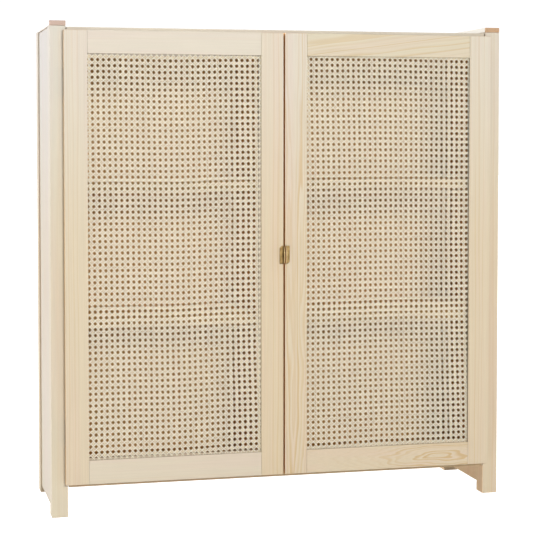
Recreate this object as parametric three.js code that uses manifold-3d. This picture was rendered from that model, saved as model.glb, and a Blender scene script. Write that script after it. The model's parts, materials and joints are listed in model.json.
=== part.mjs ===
// Record cabinet of solid pine with two framed cane doors.
// Lengths are millimetres. The origin is on the floor under the middle of the whole outline,
// +Z is up, the doors face -Y, and +X is to the right of someone who faces the doors.
import * as THREE from 'three';
import Module from 'manifold-3d';
import { mergeVertices } from 'three/addons/utils/BufferGeometryUtils.js';

const wasm = await Module();
wasm.setup();

// Overall size of the carcass, without the doors
const overallWidth = 1196;
const overallHeight = 1250;
const frameDepth = 340;

// Gap that seated pieces keep, and how far a cutting shape runs past the face that it cuts
const seatGap = 0.3;
const overrun = 2;

// Side frames: two posts, a panel between them and a thin rail that caps all three
const postWidth = 41;
const postDepth = 44;
const capThickness = 12.5;
const panelThickness = 24;
const panelRecess = 4;
const panelFloorGap = 18;
const panelTopGap = 1.5;

// Boards that tie the side frames together, and the grooves that house their ends
const boardThickness = 24;
const boardPostGap = 2;
const housingDepth = 5;
const topBoardDrop = 3;
const bottomBoardHeight = 75.8;

// Interior: shelf undersides, and a partition whose left face stands left of the middle
const lowerShelfHeight = 474;
const upperShelfHeight = 821;
const shelfSetback = 14;
const partitionThickness = 24;
const partitionOffset = 60;
const partitionSetback = 18;

// Back panel, let in between the back posts
const backThickness = 9;
const backRecess = 15;

// Doors: they lie over the posts and the front edges of the top and bottom boards
const doorThickness = 20;
const doorStandOff = 3;
const doorOverlap = 7.5;
const meetingGap = 4.5;
const topReveal = 8.6;
const bottomReveal = 9.8;
const stileWidth = 58.2;
const topRailHeight = 58;
const bottomRailHeight = 60.5;

// Joints of the door frames
const tenonLength = 14;
const tenonThickness = 7;
const tenonShoulder = 10;

// Cane panel: it lies in a rebate behind a front lip, and four beads hold it from the back
const lipThickness = 7.5;
const rebateWidth = 8;
const beadReach = 4;
const caneThickness = 2.5;
const canePitch = 54;
const caneHole = 34;

// Butt hinges, two to a door, in rebates in the back of each outer stile
const hingeHeight = 60;
const hingeEndDistance = 130;
const leafThickness = 2;
const caseLeafWidth = 30;
const doorLeafWidth = 26;
const knuckleRadius = 3;
const pinRadius = 1.4;
const pinHeadRadius = 2.5;
const pinHeadHeight = 1.6;
const swingMargin = 1.8;
const hingeRoom = 1;

// Brass pulls at the meeting stiles
const pullHeight = 47;
const pullWidth = 11.8;
const pullThickness = 2;
const pullProjection = 17;
const pullCornerRadius = 6;
const bossRadius = 3.2;
const bossLength = 6;
const pullScrewRadius = 1.6;
const pullScrewSpacing = 26;
const screwHeadRadius = 3.6;
const screwHeadHeight = 1.8;

// Magnetic catches under the top board, and the steel plates that they hold
const catchWidth = 42;
const catchDepth = 12;
const catchHeight = 14;
const strikeWidth = 34;
const strikeHeight = 12;
const strikeThickness = 1.5;

// Smoothness of round pieces
const roundSegments = 12;
const cornerSegments = 6;
const lipSegments = 14;

// Planes and heights that follow from the sizes above
const halfWidth = overallWidth / 2;
const frontStack = doorStandOff + doorThickness + pullProjection;
const postFront = (frontStack - frameDepth) / 2;
const frameBack = postFront + frameDepth;
const postInner = halfWidth - postWidth;
const postTop = overallHeight - capThickness;
const panelOuter = halfWidth - panelRecess;
const panelInner = panelOuter - panelThickness;
const backPanelFront = frameBack - backRecess - backThickness;
const boardBack = backPanelFront - seatGap;
const topBoardHeight = postTop - topBoardDrop - boardThickness;
const partitionLeft = -partitionOffset;
const partitionRight = partitionLeft + partitionThickness;
const boardHeights = [bottomBoardHeight, lowerShelfHeight, upperShelfHeight, topBoardHeight];
const shelfHeights = [lowerShelfHeight, upperShelfHeight];

const doorBottom = bottomBoardHeight + bottomReveal;
const doorTop = topBoardHeight + boardThickness - topReveal;
const doorMiddle = (doorBottom + doorTop) / 2;
const doorWidth = postInner + doorOverlap - meetingGap / 2;

// Hinge axis. The door turns about a line inside its own thickness. The line lies far enough from
// the door's back face for the stile's back corner to swing past the front of the post.
const leafLine = knuckleRadius - leafThickness - seatGap;
const edgeToPin = doorOverlap - leafLine;
const pinSetback = (edgeToPin ** 2 - doorStandOff ** 2) / (2 * doorStandOff) + swingMargin;
const pinX = postInner + leafLine;
const pinY = postFront - doorStandOff - pinSetback;
const hingeHeights = { lower: doorBottom + hingeEndDistance, upper: doorTop - hingeEndDistance };

// A door is drawn in its own frame: u runs from the hinge axis to the meeting edge, v runs back
// from the axis, and z is the height over the floor.
const outerEdge = -edgeToPin;
const meetingEdge = outerEdge + doorWidth;
const doorBack = pinSetback;
const doorFront = doorBack - doorThickness;
const openingLeft = outerEdge + stileWidth;
const openingRight = meetingEdge - stileWidth;
const openingBottom = doorBottom + bottomRailHeight;
const openingTop = doorTop - topRailHeight;
const lipBack = doorFront + lipThickness;
const tenonMiddle = (doorFront + doorBack) / 2;
const pullScrewLine = meetingEdge - pullWidth / 2;
const pullScrewHeights = [doorMiddle - pullScrewSpacing / 2, doorMiddle + pullScrewSpacing / 2];

// Finishes
const pine = { color: 0xe3d2b6, roughness: 0.62, metalness: 0 };
const endGrain = { color: 0xcfa98a, roughness: 0.7, metalness: 0 };
const innerPine = { color: 0xd3b58c, roughness: 0.7, metalness: 0 };
const cane = { color: 0xe2d3b4, roughness: 0.6, metalness: 0 };
const brass = { color: 0xa98a4e, roughness: 0.35, metalness: 1 };
const steel = { color: 0xb9bbbd, roughness: 0.4, metalness: 1 };
const plastic = { color: 0x6d4c33, roughness: 0.55, metalness: 0 };

// Joins and cuts of closed shapes

function toSolid(geometry) {
  const bare = geometry.clone();
  bare.deleteAttribute('normal');
  bare.deleteAttribute('uv');
  const merged = mergeVertices(bare);
  const { itemSize: numProp, array: vertProperties } = merged.attributes.position;
  const triVerts = merged.index.array;
  return new wasm.Manifold(new wasm.Mesh({ numProp, vertProperties, triVerts }));
}

function toGeometry(solid) {
  const mesh = solid.getMesh();
  const geometry = new THREE.BufferGeometry();
  geometry.setAttribute('position', new THREE.BufferAttribute(mesh.vertProperties, mesh.numProp));
  geometry.setIndex(new THREE.BufferAttribute(mesh.triVerts, 1));
  return geometry;
}

function shaped(parts, cuts) {
  const joined = parts.map(toSolid).reduce((whole, part) => whole.add(part));
  return toGeometry(cuts.map(toSolid).reduce((whole, cut) => whole.subtract(cut), joined));
}

// Shapes between stated limits, each limit a pair of a low and a high value

function ordered(a, b) {
  return [Math.min(a, b), Math.max(a, b)];
}

function block(xs, ys, zs) {
  const limits = [xs, ys, zs].map(([a, b]) => ordered(a, b));
  const sizes = limits.map(([low, high]) => high - low);
  const middles = limits.map(([low, high]) => (low + high) / 2);
  return new THREE.BoxGeometry(...sizes).translate(...middles);
}

function plate(outline, zs) {
  const [low, high] = ordered(...zs);
  const geometry = new THREE.ExtrudeGeometry(outline, { depth: high - low, bevelEnabled: false });
  return geometry.translate(0, 0, low);
}

// An outline drawn in x and z, carried along y
function platePastY(outline, ys, curveSegments = cornerSegments) {
  const [low, high] = ordered(...ys);
  const options = { depth: high - low, bevelEnabled: false, curveSegments };
  return new THREE.ExtrudeGeometry(outline, options).rotateX(Math.PI / 2).translate(0, high, 0);
}

// An outline drawn in y and z, carried along x
function platePastX(outline, xs, curveSegments = cornerSegments) {
  const [low, high] = ordered(...xs);
  const options = { depth: high - low, bevelEnabled: false, curveSegments };
  const turned = new THREE.Matrix4().makeBasis(
    new THREE.Vector3(0, 1, 0),
    new THREE.Vector3(0, 0, 1),
    new THREE.Vector3(1, 0, 0),
  );
  return new THREE.ExtrudeGeometry(outline, options).applyMatrix4(turned).translate(low, 0, 0);
}

function uprightRod(radius, zs) {
  const [low, high] = ordered(...zs);
  const rod = new THREE.CylinderGeometry(radius, radius, high - low, roundSegments);
  return rod.rotateX(Math.PI / 2).translate(0, 0, (low + high) / 2);
}

function rodPastY(radius, x, ys, z) {
  const [low, high] = ordered(...ys);
  const rod = new THREE.CylinderGeometry(radius, radius, high - low, roundSegments);
  return rod.translate(x, (low + high) / 2, z);
}

// A mesh is placed by its position, and its geometry is drawn about the middle of its own box
function addPiece(parent, name, finish, geometry) {
  geometry.computeBoundingBox();
  const middle = geometry.boundingBox.getCenter(new THREE.Vector3());
  geometry.translate(-middle.x, -middle.y, -middle.z);
  const mesh = new THREE.Mesh(geometry, new THREE.MeshStandardMaterial(finish));
  mesh.name = name;
  mesh.position.copy(middle);
  parent.add(mesh);
}

// Side frames

function post(side, ys) {
  return block([side * postInner, side * halfWidth], ys, [0, postTop]);
}

function capRail(side) {
  const xs = [side * postInner, side * halfWidth];
  return block(xs, [postFront, frameBack], [postTop + seatGap, overallHeight]);
}

function groove(xs, height) {
  return block(xs, [postFront, frameBack], [height - seatGap, height + boardThickness + seatGap]);
}

function sidePanel(side) {
  const xs = [side * panelInner, side * panelOuter];
  const ys = [postFront + postDepth + seatGap, frameBack - postDepth - seatGap];
  const panel = block(xs, ys, [panelFloorGap, postTop - panelTopGap]);
  const grooveXs = [side * (panelInner - overrun), side * (panelInner + housingDepth)];
  return shaped([panel], boardHeights.map((height) => groove(grooveXs, height)));
}

// Boards

// The end of a board that goes in between a front and a back post, and past them into the groove
// of the side panel. Its points run from the front edge to the back edge.
function housedEnd(side, front) {
  const narrow = side * (postInner - boardPostGap);
  const wide = side * (panelInner + housingDepth - seatGap);
  const wideFront = postFront + postDepth + boardPostGap;
  const wideBack = frameBack - postDepth - boardPostGap;
  return [
    [narrow, front],
    [narrow, wideFront],
    [wide, wideFront],
    [wide, wideBack],
    [narrow, wideBack],
    [narrow, boardBack],
  ];
}

// The end of a shelf that goes into the partition
function partitionEnd(x, front) {
  return [
    [x, front],
    [x, boardBack],
  ];
}

function board(leftEnd, rightEnd, height) {
  const points = [...leftEnd, ...rightEnd.reverse()].map(([x, y]) => new THREE.Vector2(x, y));
  return plate(new THREE.Shape(points), [height, height + boardThickness]);
}

function fullBoard(height) {
  return board(housedEnd(-1, postFront), housedEnd(1, postFront), height);
}

function shelf(side, height) {
  const front = postFront + shelfSetback;
  if (side < 0) {
    const end = partitionEnd(partitionLeft + housingDepth - seatGap, front);
    return board(housedEnd(-1, front), end, height);
  }
  const end = partitionEnd(partitionRight - housingDepth + seatGap, front);
  return board(end, housedEnd(1, front), height);
}

function partition() {
  const ys = [postFront + partitionSetback, boardBack];
  const zs = [bottomBoardHeight + boardThickness + seatGap, topBoardHeight - seatGap];
  const grooves = [
    [partitionLeft - overrun, partitionLeft + housingDepth],
    [partitionRight - housingDepth, partitionRight + overrun],
  ];
  const cuts = shelfHeights.flatMap((height) => grooves.map((xs) => groove(xs, height)));
  return shaped([block([partitionLeft, partitionRight], ys, zs)], cuts);
}

function backPanel() {
  const reach = postInner - seatGap;
  const ys = [backPanelFront, backPanelFront + backThickness];
  return block([-reach, reach], ys, [bottomBoardHeight, topBoardHeight + boardThickness]);
}

// Door frames. The direction inward is +1 on the left door and -1 on the right one.

function across(inward, a, b) {
  return ordered(inward * a, inward * b);
}

// The room that a rail's tenon needs or fills, at one end of the rail
function tenonBlock(inward, from, to, zs, slack) {
  const halfThickness = tenonThickness / 2 + slack;
  const vs = [tenonMiddle - halfThickness, tenonMiddle + halfThickness];
  const shoulder = tenonShoulder - slack;
  return block(across(inward, from, to), vs, [zs[0] + shoulder, zs[1] - shoulder]);
}

function rebateBlock(inward, from, to) {
  const vs = [lipBack, doorBack + overrun];
  return block(across(inward, from, to), vs, [openingBottom - rebateWidth, openingTop + rebateWidth]);
}

const railSpans = {
  bottom: [doorBottom, openingBottom],
  top: [openingTop, doorTop],
};

function mortises(inward, from, to) {
  return Object.values(railSpans).map((zs) => tenonBlock(inward, from, to, zs, seatGap));
}

function hingeRebate(inward, height) {
  const reach = hingeHeight / 2 + pinHeadHeight + hingeRoom;
  const us = across(inward, outerEdge - overrun, doorLeafWidth + hingeRoom);
  const vs = [-knuckleRadius - seatGap, doorBack + overrun];
  return block(us, vs, [height - reach, height + reach]);
}

function stileBody(inward, from, to) {
  return block(across(inward, from, to), [doorFront, doorBack], [doorBottom, doorTop]);
}

function outerStile(inward) {
  const body = stileBody(inward, outerEdge, openingLeft);
  return shaped([body], [
    rebateBlock(inward, openingLeft - rebateWidth, openingLeft + overrun),
    ...mortises(inward, openingLeft - tenonLength - seatGap, openingLeft + overrun),
    ...Object.values(hingeHeights).map((height) => hingeRebate(inward, height)),
  ]);
}

function innerStile(inward) {
  const body = stileBody(inward, openingRight, meetingEdge);
  const x = inward * pullScrewLine;
  const holes = pullScrewHeights.flatMap((z) => [
    rodPastY(bossRadius + seatGap, x, [doorFront - overrun, doorFront + bossLength + seatGap], z),
    rodPastY(pullScrewRadius + seatGap, x, [doorFront, doorBack + overrun], z),
  ]);
  return shaped([body], [
    rebateBlock(inward, openingRight - overrun, openingRight + rebateWidth),
    ...mortises(inward, openingRight - overrun, openingRight + tenonLength + seatGap),
    ...holes,
  ]);
}

function rail(inward, zs) {
  const from = openingLeft + seatGap;
  const to = openingRight - seatGap;
  const body = block(across(inward, from, to), [doorFront, doorBack], zs);
  const tenons = tenonBlock(inward, openingLeft - tenonLength, openingRight + tenonLength, zs, 0);
  return shaped([body, tenons], [rebateBlock(inward, from - overrun, to + overrun)]);
}

// Cane webbing as a coarse open net: as many diamond holes as fit at the stated pitch
function canePanel(inward) {
  const margin = rebateWidth - seatGap;
  const [left, right] = across(inward, openingLeft - margin, openingRight + margin);
  const bottom = openingBottom - margin;
  const top = openingTop + margin;
  const toPoints = (corners) => corners.map(([x, z]) => new THREE.Vector2(x, z));
  const sheet = new THREE.Shape(toPoints([[left, bottom], [right, bottom], [right, top], [left, top]]));
  const width = openingRight - openingLeft;
  const height = openingTop - openingBottom;
  const columns = Math.floor(width / canePitch);
  const rows = Math.floor(height / canePitch);
  const half = caneHole / 2;
  for (let column = 0; column < columns; column += 1) {
    for (let row = 0; row < rows; row += 1) {
      const x = inward * (openingLeft + (width * (column + 0.5)) / columns);
      const z = openingBottom + (height * (row + 0.5)) / rows;
      const diamond = [[x - half, z], [x, z - half], [x + half, z], [x, z + half]];
      sheet.holes.push(new THREE.Path(toPoints(diamond)));
    }
  }
  const front = lipBack + seatGap;
  return platePastY(sheet, [front, front + caneThickness]);
}

// Beads: the top and bottom ones run the whole width of the rebate, the others stand between them.
// Seen from the front, all but the outer one reach in past the lip, behind the cane.
function beads(inward) {
  const margin = rebateWidth - seatGap;
  const vs = [lipBack + caneThickness + 2 * seatGap, doorBack];
  const low = openingBottom + beadReach;
  const high = openingTop - beadReach;
  const uprights = [low + seatGap, high - seatGap];
  const wide = across(inward, openingLeft - margin, openingRight + margin);
  return {
    top: block(wide, vs, [high, openingTop + margin]),
    bottom: block(wide, vs, [openingBottom - margin, low]),
    outer: block(across(inward, openingLeft - margin, openingLeft), vs, uprights),
    inner: block(across(inward, openingRight - beadReach, openingRight + margin), vs, uprights),
  };
}

// Pulls

// The front plate: square at the meeting edge and rounded at its two outer corners
function pullOutline(inward) {
  const edge = meetingEdge;
  const far = meetingEdge - pullWidth;
  const low = doorMiddle - pullHeight / 2;
  const high = doorMiddle + pullHeight / 2;
  const radius = pullCornerRadius;
  const outline = new THREE.Shape();
  outline.moveTo(inward * edge, low);
  outline.lineTo(inward * edge, high);
  outline.lineTo(inward * (far + radius), high);
  outline.quadraticCurveTo(inward * far, high, inward * far, high - radius);
  outline.lineTo(inward * far, low + radius);
  outline.quadraticCurveTo(inward * far, low, inward * (far + radius), low);
  return outline;
}

// The finger lip: a half oval that stands forward of the plate
function lipOutline() {
  const outline = new THREE.Shape();
  const back = doorFront - seatGap;
  outline.moveTo(back, doorMiddle + pullHeight / 2);
  const reach = pullProjection - seatGap;
  outline.absellipse(back, doorMiddle, reach, pullHeight / 2, Math.PI / 2, -Math.PI / 2);
  return outline;
}

function pull(inward) {
  const plateYs = [doorFront - seatGap - pullThickness, doorFront - seatGap];
  const x = inward * pullScrewLine;
  const bossYs = [plateYs[1] - pullThickness / 2, doorFront + bossLength];
  const boreYs = [plateYs[1], doorFront + bossLength + overrun];
  return shaped([
    platePastY(pullOutline(inward), plateYs),
    platePastX(lipOutline(), across(inward, meetingEdge - pullThickness, meetingEdge), lipSegments),
    ...pullScrewHeights.map((z) => rodPastY(bossRadius, x, bossYs, z)),
  ], pullScrewHeights.map((z) => rodPastY(pullScrewRadius + seatGap, x, boreYs, z)));
}

function pullScrew(inward, z) {
  const x = inward * pullScrewLine;
  const headYs = [doorBack + seatGap, doorBack + seatGap + screwHeadHeight];
  return shaped([
    rodPastY(pullScrewRadius, x, [doorFront + seatGap, headYs[1]], z),
    rodPastY(screwHeadRadius, x, headYs, z),
  ], []);
}

// Hinges

// Three knuckles share the height of a hinge: the case leaf has the two at the ends
const knuckleEnds = [0, 1, 2, 3].map((third) => hingeHeight * (third / 3 - 0.5));
const leafZs = [knuckleEnds[0] + seatGap / 2, knuckleEnds[3] - seatGap / 2];

function knuckle(index) {
  const [low, high] = [knuckleEnds[index], knuckleEnds[index + 1]];
  return uprightRod(knuckleRadius, [low + seatGap / 2, high - seatGap / 2]);
}

function knuckleRoom(index) {
  const [low, high] = [knuckleEnds[index], knuckleEnds[index + 1]];
  return uprightRod(knuckleRadius + seatGap, [low - seatGap / 2, high + seatGap / 2]);
}

function leaf(us, vs, ownKnuckles, otherKnuckles) {
  const bore = uprightRod(pinRadius + seatGap, [-hingeHeight, hingeHeight]);
  const cuts = [bore, ...otherKnuckles.map(knuckleRoom)];
  return shaped([block(us, vs, leafZs), ...ownKnuckles.map(knuckle)], cuts);
}

// The leaf on the post: it runs straight back from the knuckles along the post's inner face
function caseLeaf(inward) {
  const us = across(inward, knuckleRadius - leafThickness, knuckleRadius);
  return leaf(us, [0, pinSetback + doorStandOff + caseLeafWidth], [0, 2], [1]);
}

// The leaf on the door: it lies on the floor of its rebate
function doorLeaf(inward) {
  const vs = [-knuckleRadius, leafThickness - knuckleRadius];
  return leaf(across(inward, 0, doorLeafWidth), vs, [1], [0, 2]);
}

function hingePin() {
  const shank = hingeHeight / 2;
  const profile = [
    [0, -shank - pinHeadHeight],
    [pinHeadRadius / 2, -shank - pinHeadHeight],
    [pinHeadRadius, -shank - pinHeadHeight / 2],
    [pinHeadRadius, -shank],
    [pinRadius, -shank],
    [pinRadius, shank],
    [pinHeadRadius, shank],
    [pinHeadRadius, shank + pinHeadHeight / 2],
    [pinHeadRadius / 2, shank + pinHeadHeight],
    [0, shank + pinHeadHeight],
  ];
  const points = profile.map(([radius, height]) => new THREE.Vector2(radius, height));
  return new THREE.LatheGeometry(points, roundSegments).rotateX(Math.PI / 2);
}

// Catches and strike plates, centred on the meeting stiles

const catchLine = meetingGap / 2 + stileWidth / 2;
const catchFront = postFront - doorStandOff + strikeThickness + 2 * seatGap;

function doorCatch(side) {
  const xs = [side * (catchLine - catchWidth / 2), side * (catchLine + catchWidth / 2)];
  const top = topBoardHeight - seatGap;
  return block(xs, [catchFront, catchFront + catchDepth], [top - catchHeight, top]);
}

function strikePlate(inward) {
  const middle = meetingEdge - stileWidth / 2;
  const us = across(inward, middle - strikeWidth / 2, middle + strikeWidth / 2);
  const vs = [doorBack + seatGap, doorBack + seatGap + strikeThickness];
  const z = topBoardHeight - seatGap - catchHeight / 2;
  return block(us, vs, [z - strikeHeight / 2, z + strikeHeight / 2]);
}

// Assembly

const group = new THREE.Group();
const sides = { left: -1, right: 1 };

for (const [sideName, side] of Object.entries(sides)) {
  const frontYs = [postFront, postFront + postDepth];
  const backYs = [frameBack - postDepth, frameBack];
  addPiece(group, `front_${sideName}_post`, pine, post(side, frontYs));
  addPiece(group, `back_${sideName}_post`, pine, post(side, backYs));
  addPiece(group, `${sideName}_side_panel`, pine, sidePanel(side));
  addPiece(group, `${sideName}_cap_rail`, endGrain, capRail(side));
}

addPiece(group, 'bottom_board', pine, fullBoard(bottomBoardHeight));
addPiece(group, 'top_board', pine, fullBoard(topBoardHeight));
addPiece(group, 'partition', innerPine, partition());
addPiece(group, 'back_panel', innerPine, backPanel());

for (const [sideName, side] of Object.entries(sides)) {
  addPiece(group, `lower_${sideName}_shelf`, innerPine, shelf(side, lowerShelfHeight));
  addPiece(group, `upper_${sideName}_shelf`, innerPine, shelf(side, upperShelfHeight));
  addPiece(group, `${sideName}_catch`, plastic, doorCatch(side));
}

for (const [sideName, side] of Object.entries(sides)) {
  const inward = -side;
  const door = new THREE.Group();
  door.position.set(side * pinX, pinY, 0);
  group.add(door);
  addPiece(door, `${sideName}_door_outer_stile`, pine, outerStile(inward));
  addPiece(door, `${sideName}_door_inner_stile`, pine, innerStile(inward));
  addPiece(door, `${sideName}_door_top_rail`, pine, rail(inward, railSpans.top));
  addPiece(door, `${sideName}_door_bottom_rail`, pine, rail(inward, railSpans.bottom));
  addPiece(door, `${sideName}_door_cane_panel`, cane, canePanel(inward));
  for (const [place, bead] of Object.entries(beads(inward))) {
    addPiece(door, `${sideName}_door_${place}_bead`, innerPine, bead);
  }
  addPiece(door, `${sideName}_door_pull`, brass, pull(inward));
  addPiece(door, `${sideName}_door_lower_pull_screw`, steel, pullScrew(inward, pullScrewHeights[0]));
  addPiece(door, `${sideName}_door_upper_pull_screw`, steel, pullScrew(inward, pullScrewHeights[1]));
  addPiece(door, `${sideName}_door_strike_plate`, steel, strikePlate(inward));

  for (const [place, height] of Object.entries(hingeHeights)) {
    const hinge = new THREE.Group();
    hinge.position.set(0, 0, height);
    door.add(hinge);
    const name = `${sideName}_${place}_hinge`;
    addPiece(hinge, `${name}_case_leaf`, brass, caseLeaf(inward));
    addPiece(hinge, `${name}_door_leaf`, brass, doorLeaf(inward));
    addPiece(hinge, `${name}_pin`, brass, hingePin());
  }
}

export default group;
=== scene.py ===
"""A record cabinet of pale pine with woven cane doors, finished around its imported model."""

import json
import math
from typing import NamedTuple

import bmesh
import bpy
import numpy as np
from bpy.props import FloatProperty, FloatVectorProperty, IntProperty, PointerProperty
from bpy.types import Operator, Panel, PropertyGroup
from mathutils import Euler, Matrix, Vector

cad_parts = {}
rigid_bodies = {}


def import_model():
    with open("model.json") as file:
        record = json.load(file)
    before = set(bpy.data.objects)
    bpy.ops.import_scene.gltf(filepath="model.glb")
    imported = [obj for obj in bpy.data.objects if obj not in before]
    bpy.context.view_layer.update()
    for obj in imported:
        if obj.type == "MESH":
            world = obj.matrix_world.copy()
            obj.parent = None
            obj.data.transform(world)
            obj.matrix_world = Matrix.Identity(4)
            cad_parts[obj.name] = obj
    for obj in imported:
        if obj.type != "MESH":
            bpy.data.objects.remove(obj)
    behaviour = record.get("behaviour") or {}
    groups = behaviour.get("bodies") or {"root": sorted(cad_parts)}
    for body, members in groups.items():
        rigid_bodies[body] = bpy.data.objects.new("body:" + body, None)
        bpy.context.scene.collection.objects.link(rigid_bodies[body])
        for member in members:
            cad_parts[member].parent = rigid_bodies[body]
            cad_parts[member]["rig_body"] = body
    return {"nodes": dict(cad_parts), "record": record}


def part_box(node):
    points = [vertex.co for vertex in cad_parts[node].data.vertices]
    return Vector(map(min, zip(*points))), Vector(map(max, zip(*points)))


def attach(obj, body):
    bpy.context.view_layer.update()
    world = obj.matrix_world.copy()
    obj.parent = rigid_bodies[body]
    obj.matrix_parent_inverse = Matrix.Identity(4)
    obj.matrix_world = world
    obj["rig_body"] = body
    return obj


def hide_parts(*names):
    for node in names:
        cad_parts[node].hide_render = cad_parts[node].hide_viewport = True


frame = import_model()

bl_info = {
    "name": "Cane Door Cabinet",
    "version": (1, 0, 0),
    "blender": (4, 5, 0),
    "location": "View3D > Sidebar > Cabinet",
    "description": "Finishes a pine cabinet with woven cane doors, brass pulls and studio light",
    "category": "Object",
}

SLOTS = {row["node"]: row["material_slot"] for row in frame["record"]["subparts"]}
SIDES = {"left": -1, "right": 1}


# Settings that a user would change

class WoodSettings(PropertyGroup):
    """Colours and sizes of the pine."""

    early: FloatVectorProperty(
        name="Early wood", description="Pale wood between the growth rings",
        subtype="COLOR", min=0, max=1, default=(0.6, 0.5, 0.345))
    late: FloatVectorProperty(
        name="Late wood", description="Darker line of each growth ring",
        subtype="COLOR", min=0, max=1, default=(0.53, 0.37, 0.19))
    flush: FloatVectorProperty(
        name="Flush", description="Pinkish tone that drifts through a board",
        subtype="COLOR", min=0, max=1, default=(0.605, 0.485, 0.345))
    end: FloatVectorProperty(
        name="End grain", description="Tone of cut ends",
        subtype="COLOR", min=0, max=1, default=(0.5, 0.33, 0.19))
    # Painted shade: a darker, warmer tone for the wood inside the case, where little light gets in
    inside: FloatVectorProperty(
        name="Inside", description="Tone that wood inside the case is multiplied by",
        subtype="COLOR", min=0, max=2, default=(1.17, 0.87, 0.47))
    # Painted shade: a warmer, darker tone that paints the shade of the narrow gap onto the doors'
    # meeting edges
    edge: FloatVectorProperty(
        name="Meeting edge", description="Tone that the doors' meeting edges are multiplied by",
        subtype="COLOR", min=0, max=2, default=(1.28, 0.86, 0.4))
    # Painted light: the upper part of the boards is made whiter and cooler, as if lit by cool light from
    # above
    top_light_tint: FloatVectorProperty(
        name="Top light tint", description="Tone that the upper part of the boards is multiplied by",
        subtype="COLOR", min=0, max=2, default=(1.0, 1.07, 1.23))
    ease: FloatProperty(
        name="Edge ease", description="Width of the eased edges of the boards",
        unit="LENGTH", min=0.0002, max=0.003, default=0.0009)


class CaneSettings(PropertyGroup):
    """Sizes and colours of the woven cane."""

    pitch_across: FloatProperty(
        name="Pitch across", description="Distance between two holes in a row",
        unit="LENGTH", min=0.008, max=0.03, default=0.0142)
    pitch_up: FloatProperty(
        name="Pitch up", description="Distance between two rows of holes",
        unit="LENGTH", min=0.008, max=0.03, default=0.01475)
    straight_width: FloatProperty(
        name="Straight strand", description="Width of an upright or level strand",
        unit="LENGTH", min=0.001, max=0.005, default=0.00168)
    slant_width: FloatProperty(
        name="Slanting strand", description="Width of a diagonal strand",
        unit="LENGTH", min=0.001, max=0.006, default=0.0019)
    thickness: FloatProperty(
        name="Thickness", description="Thickness of a strand",
        unit="LENGTH", min=0.0003, max=0.0015, default=0.0005)
    pair_tight: FloatProperty(
        name="Tight pair", description="Distance between the strands of a pair where pairs cross",
        unit="LENGTH", min=0.002, max=0.008, default=0.002)
    pair_wide: FloatProperty(
        name="Wide pair", description="Distance between the strands of a pair between crossings",
        unit="LENGTH", min=0.002, max=0.008, default=0.0033)
    pair_bound: FloatProperty(
        name="Bound pair", description="Distance between a pair's strands under the diagonals",
        unit="LENGTH", min=0.002, max=0.008, default=0.0027)
    jitter: FloatProperty(
        name="Jitter", description="How far single strands stray from their places",
        unit="LENGTH", min=0, max=0.001, default=0.0002)
    # Painted highlight: the cane's colour raised past real cane on the slanting strands, which lie on
    # top and catch the light
    pale: FloatVectorProperty(
        name="Pale cane", description="Diagonal strands, which lie on top",
        subtype="COLOR", min=0, max=1, default=(1.0, 0.955, 0.795))
    # Partly the cane's own colour and partly painted shade: the upright and level strands lie beneath
    # the slanting ones
    dull: FloatVectorProperty(
        name="Dull cane", description="Upright and level strands",
        subtype="COLOR", min=0, max=1, default=(0.88, 0.765, 0.535))


class BrassSettings(PropertyGroup):
    """Colours and roundness of the brass pieces."""

    bright: FloatVectorProperty(
        name="Bright brass", description="Brass where it is handled",
        subtype="COLOR", min=0, max=1, default=(0.34, 0.23, 0.092))
    aged: FloatVectorProperty(
        name="Aged brass", description="Brass that has darkened",
        subtype="COLOR", min=0, max=1, default=(0.2, 0.13, 0.05))
    # A brighter, less metallic brass colour on the backs of the finger lips
    lip_back: FloatVectorProperty(
        name="Lip back brass", description="Backs of the finger lips, which fingers keep bright",
        subtype="COLOR", min=0, max=1, default=(0.95, 0.72, 0.38))
    ease: FloatProperty(
        name="Edge ease", description="Width of the eased edges of the pulls",
        unit="LENGTH", min=0.0001, max=0.001, default=0.0005)
    outline_steps: IntProperty(
        name="Outline steps", description="Steps along each round stretch of a pull",
        min=8, max=64, default=32)


class StageSettings(PropertyGroup):
    """Camera, floor and light."""

    camera_place: FloatVectorProperty(
        name="Camera place", description="Where the camera stands",
        subtype="XYZ", unit="LENGTH", default=(-0.999, -4.08, 0.967))
    camera_yaw: FloatProperty(
        name="Camera yaw", description="Turn of the camera from +Y towards +X",
        subtype="ANGLE", default=math.radians(13.82))
    camera_pitch: FloatProperty(
        name="Camera pitch", description="Tilt of the camera below the horizon",
        subtype="ANGLE", default=math.radians(2.41))
    lens: FloatProperty(
        name="Lens", description="Focal length on a 36 mm sensor", unit="CAMERA", default=104.5)
    shift: FloatProperty(
        name="Shift", description="Vertical lens shift, in image heights", default=-0.1296)
    light_power: FloatProperty(
        name="Front light", description="Power of the front light, which sets the others",
        subtype="POWER", default=1085.0)
    floor_colour: FloatVectorProperty(
        name="Floor", description="Colour of the plain floor",
        subtype="COLOR", min=0, max=1, default=(0.8, 0.8, 0.8))


# Small helpers for meshes and pieces

def settings(name):
    """The settings that the scene holds under this name."""
    return getattr(bpy.context.scene, "cabinet_" + name)


def new_object(name, data):
    """Puts a mesh, a camera or a light in the scene."""
    made = bpy.data.objects.new(name, data)
    bpy.context.scene.collection.objects.link(made)
    return made


def add_piece(mesh, body):
    """Puts a mesh in the scene as a piece of its name that rides on a body."""
    piece = new_object(mesh.name, mesh)
    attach(piece, body)
    return piece


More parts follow.
